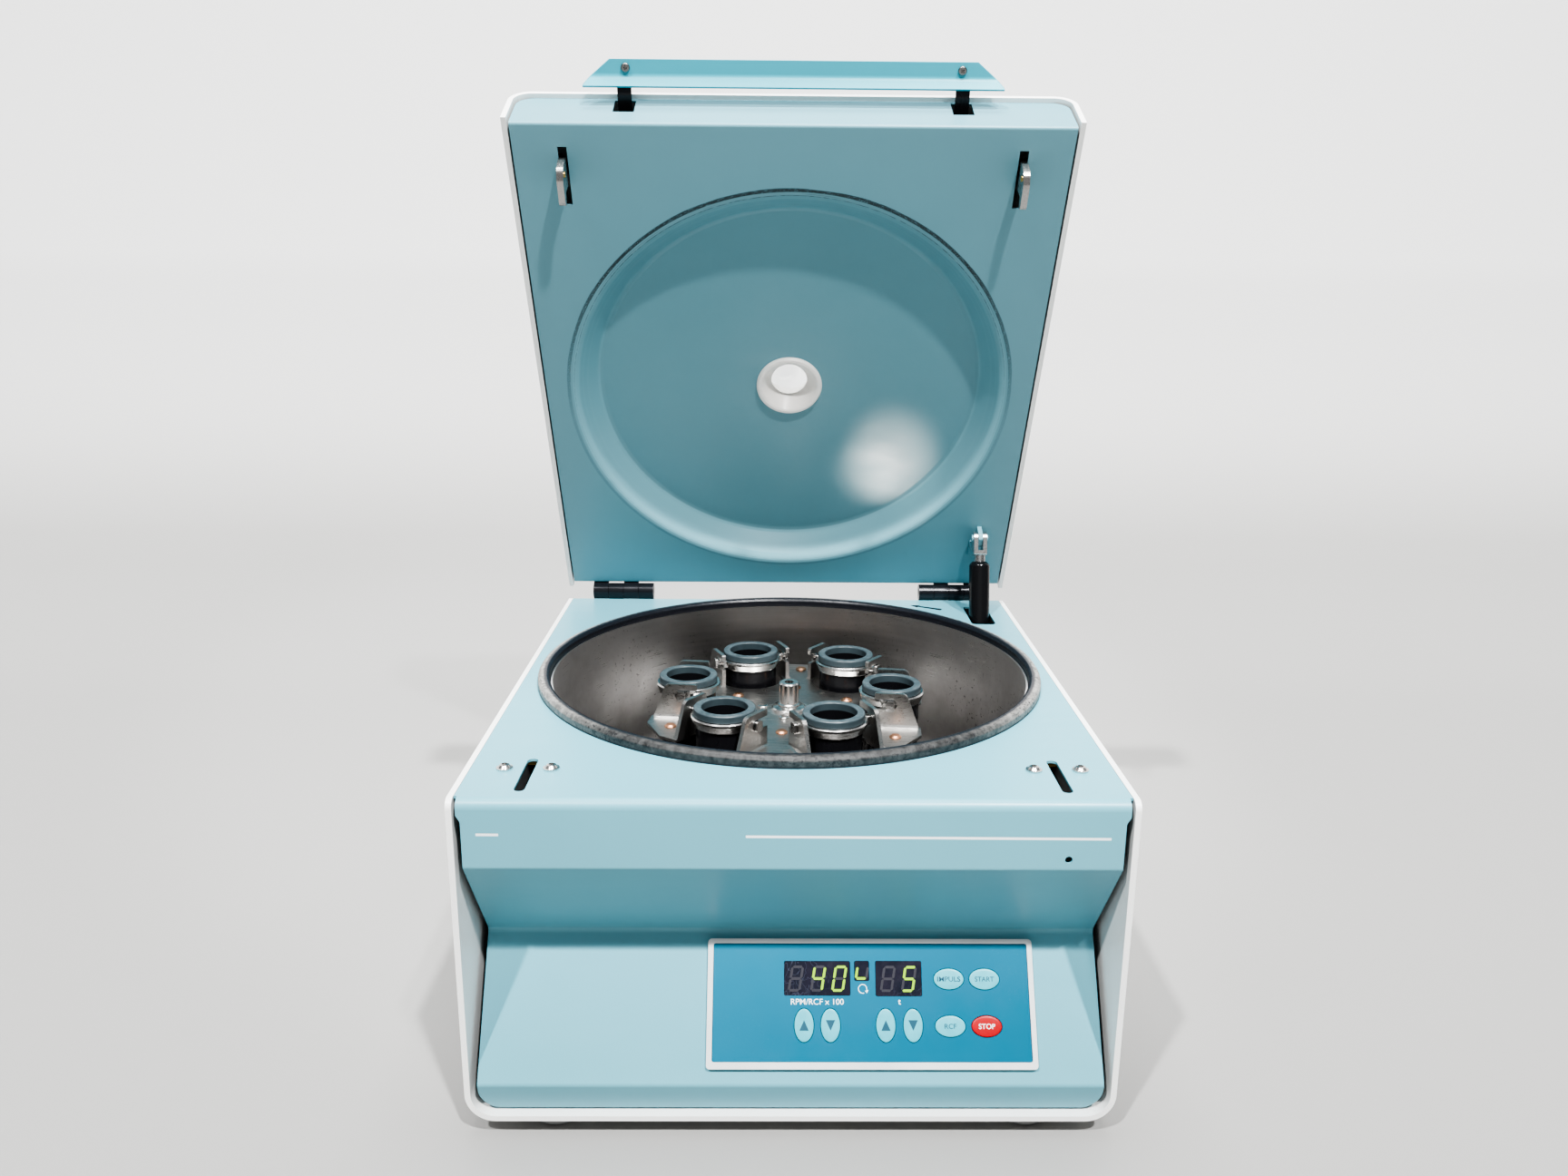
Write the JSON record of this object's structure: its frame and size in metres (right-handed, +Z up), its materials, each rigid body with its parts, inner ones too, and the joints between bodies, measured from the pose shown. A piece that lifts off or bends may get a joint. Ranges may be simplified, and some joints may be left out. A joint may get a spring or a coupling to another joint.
{
  "type": "benchtop centrifuge",
  "caption": "Lidded benchtop centrifuge with a swing-out rotor in a steel bowl, a sloping key panel, a hinged lid with viewing port, lock hooks and gas strut.",
  "frame": {"origin": "centre of the footprint of the whole object with its lid open, on the plane of the feet", "axes": "+X to the right seen from the front, +Y to the back where the hinges are, +Z up"},
  "size_m": [0.366, 0.4438, 0.6033],
  "materials": {
    "white_enamel": "fine satin enamel",
    "teal_enamel": "satin enamel",
    "frame_plastic": "satin moulded",
    "face_foil": "satin printed foil",
    "board": "lacquered board",
    "grey_enamel": "satin enamel",
    "black_plastic": "moulded",
    "zinc_steel": "zinc plated",
    "foot_rubber": "moulded grey rubber",
    "stainless": "brushed stainless",
    "seal_rubber": "worn grey and black rubber",
    "motor_paint": "black enamel",
    "black_rubber": "moulded rubber",
    "bright_steel": "turned and polished",
    "brass": "machined",
    "black_steel": "black oxide",
    "rotor_steel": "worn stainless sheet",
    "copper": "copper rivet heads",
    "port_plastic": "satin moulded",
    "window": "clear acrylic",
    "handle_enamel": "satin enamel",
    "strut_black": "gloss black enamel",
    "bucket_black": "satin moulded",
    "band_steel": "polished steel",
    "key_light": "satin foil key",
    "key_red": "satin foil key"
  },
  "bodies": {
    "housing": {"side_wrap": "white_enamel", "front_top_cover": "teal_enamel", "control_frame": "frame_plastic", "control_face": "face_foil", "circuit_boards": "board", "rear_panel": "grey_enamel", "mains_inlet": "black_plastic", "chassis_frame": "zinc_steel", "feet": "foot_rubber", "chamber_bowl": "stainless", "chamber_seal": "seal_rubber", "motor_housing": "motor_paint", "motor_mounts": "black_rubber", "motor_bearings": "bright_steel", "lock_frames": "zinc_steel", "lock_catches": "brass", "lock_screws": "bright_steel", "hinge_bases": "black_steel", "hinge_pins": "black_steel", "strut_bracket": "zinc_steel"},
    "rotor": {"motor_shaft": "bright_steel", "rotor_star": "rotor_steel", "rotor_hub": "rotor_steel", "rotor_rivets": "copper", "rotor_nut": "bright_steel"},
    "bucket_1": {"bucket_sleeve_1": "bucket_black", "bucket_band_1": "band_steel"},
    "bucket_2": {"bucket_sleeve_2": "bucket_black", "bucket_band_2": "band_steel"},
    "bucket_3": {"bucket_sleeve_3": "bucket_black", "bucket_band_3": "band_steel"},
    "bucket_4": {"bucket_sleeve_4": "bucket_black", "bucket_band_4": "band_steel"},
    "bucket_5": {"bucket_sleeve_5": "bucket_black", "bucket_band_5": "band_steel"},
    "bucket_6": {"bucket_sleeve_6": "bucket_black", "bucket_band_6": "band_steel"},
    "lid": {"lid_shell": "white_enamel", "lid_panel": "teal_enamel", "port_ring": "port_plastic", "port_window": "window", "hinge_lid_leaves": "black_steel", "strut_tab": "zinc_steel", "shaft_blocks": "black_plastic"},
    "handle": {"handle_bar": "handle_enamel", "handle_brackets": "black_steel", "lock_shaft": "bright_steel", "lock_hooks": "bright_steel"},
    "strut_tube": {"strut_fork": "zinc_steel", "strut_tube": "strut_black"},
    "strut_rod": {"strut_rod": "bright_steel"},
    "key_speed_up": {"key_speed_up": "key_light"},
    "key_speed_down": {"key_speed_down": "key_light"},
    "key_time_up": {"key_time_up": "key_light"},
    "key_time_down": {"key_time_down": "key_light"},
    "key_pulse": {"key_pulse": "key_light"},
    "key_start": {"key_start": "key_light"},
    "key_rcf": {"key_rcf": "key_light"},
    "key_stop": {"key_stop": "key_red"},
    "mains_rocker": {"mains_rocker": "black_plastic"}
  },
  "joints": [
    {"name": "lid_hinge", "type": "hinge", "parent": "housing", "child": "lid", "pos_m": [0, 0.18304, 0.21164], "axis": [1, 0, 0], "range_deg": [0, 61.9]},
    {"name": "handle_turn", "type": "hinge", "parent": "lid", "child": "handle", "pos_m": [0, 0.04336, 0.53938], "axis": [1, 0, 0], "range_deg": [0, 11]},
    {"name": "rotor_spin", "type": "hinge", "parent": "housing", "child": "rotor", "pos_m": [0, -0.00856, 0.1933], "axis": [0, 0, 1], "continuous": true},
    {"name": "bucket_1_swing", "type": "hinge", "parent": "rotor", "child": "bucket_1", "pos_m": [0.04263, 0.04822, 0.1933], "axis": [0.7997, -0.6004, 0], "range_deg": [0, 88]},
    {"name": "bucket_2_swing", "type": "hinge", "parent": "rotor", "child": "bucket_2", "pos_m": [-0.02786, 0.05674, 0.1933], "axis": [0.9198, 0.3923, 0], "range_deg": [0, 88]},
    {"name": "bucket_3_swing", "type": "hinge", "parent": "rotor", "child": "bucket_3", "pos_m": [-0.07049, -0.00003, 0.1933], "axis": [0.1201, 0.9928, 0], "range_deg": [0, 88]},
    {"name": "bucket_4_swing", "type": "hinge", "parent": "rotor", "child": "bucket_4", "pos_m": [-0.04263, -0.06534, 0.1933], "axis": [-0.7997, 0.6004, 0], "range_deg": [0, 88]},
    {"name": "bucket_5_swing", "type": "hinge", "parent": "rotor", "child": "bucket_5", "pos_m": [0.02786, -0.07387, 0.1933], "axis": [-0.9198, -0.3923, 0], "range_deg": [0, 88]},
    {"name": "bucket_6_swing", "type": "hinge", "parent": "rotor", "child": "bucket_6", "pos_m": [0.07049, -0.01709, 0.1933], "axis": [-0.1201, -0.9928, 0], "range_deg": [0, 88]},
    {"name": "strut_tube_pivot", "type": "hinge", "parent": "lid", "child": "strut_tube", "pos_m": [0.1555, 0.14844, 0.26617], "axis": [1, 0, 0], "range_deg": [-55.51, 0]},
    {"name": "strut_rod_slide", "type": "slide", "parent": "strut_tube", "child": "strut_rod", "axis": [0, 0.24, 0.9708], "range_m": [0, 0.06449]},
    {"name": "key_speed_up_press", "type": "slide", "parent": "housing", "child": "key_speed_up", "axis": [0, 0.8403, -0.5421], "range_m": [0, 0.0006], "stiffness_N_per_m": 800},
    {"name": "key_speed_down_press", "type": "slide", "parent": "housing", "child": "key_speed_down", "axis": [0, 0.8403, -0.5421], "range_m": [0, 0.0006], "stiffness_N_per_m": 800},
    {"name": "key_time_up_press", "type": "slide", "parent": "housing", "child": "key_time_up", "axis": [0, 0.8403, -0.5421], "range_m": [0, 0.0006], "stiffness_N_per_m": 800},
    {"name": "key_time_down_press", "type": "slide", "parent": "housing", "child": "key_time_down", "axis": [0, 0.8403, -0.5421], "range_m": [0, 0.0006], "stiffness_N_per_m": 800},
    {"name": "key_pulse_press", "type": "slide", "parent": "housing", "child": "key_pulse", "axis": [0, 0.8403, -0.5421], "range_m": [0, 0.0006], "stiffness_N_per_m": 800},
    {"name": "key_start_press", "type": "slide", "parent": "housing", "child": "key_start", "axis": [0, 0.8403, -0.5421], "range_m": [0, 0.0006], "stiffness_N_per_m": 800},
    {"name": "key_rcf_press", "type": "slide", "parent": "housing", "child": "key_rcf", "axis": [0, 0.8403, -0.5421], "range_m": [0, 0.0006], "stiffness_N_per_m": 800},
    {"name": "key_stop_press", "type": "slide", "parent": "housing", "child": "key_stop", "axis": [0, 0.8403, -0.5421], "range_m": [0, 0.0006], "stiffness_N_per_m": 800},
    {"name": "mains_rocker_tilt", "type": "hinge", "parent": "housing", "child": "mains_rocker", "pos_m": [-0.133, 0.17554, 0.0558], "axis": [1, 0, 0], "range_deg": [0, 18]}
  ],
  "couplings": [
    {"joint": "strut_tube_pivot", "follows": "lid_hinge", "ratio": -0.88714},
    {"joint": "strut_rod_slide", "follows": "lid_hinge", "m_per_rad": 0.059138}
  ]
}
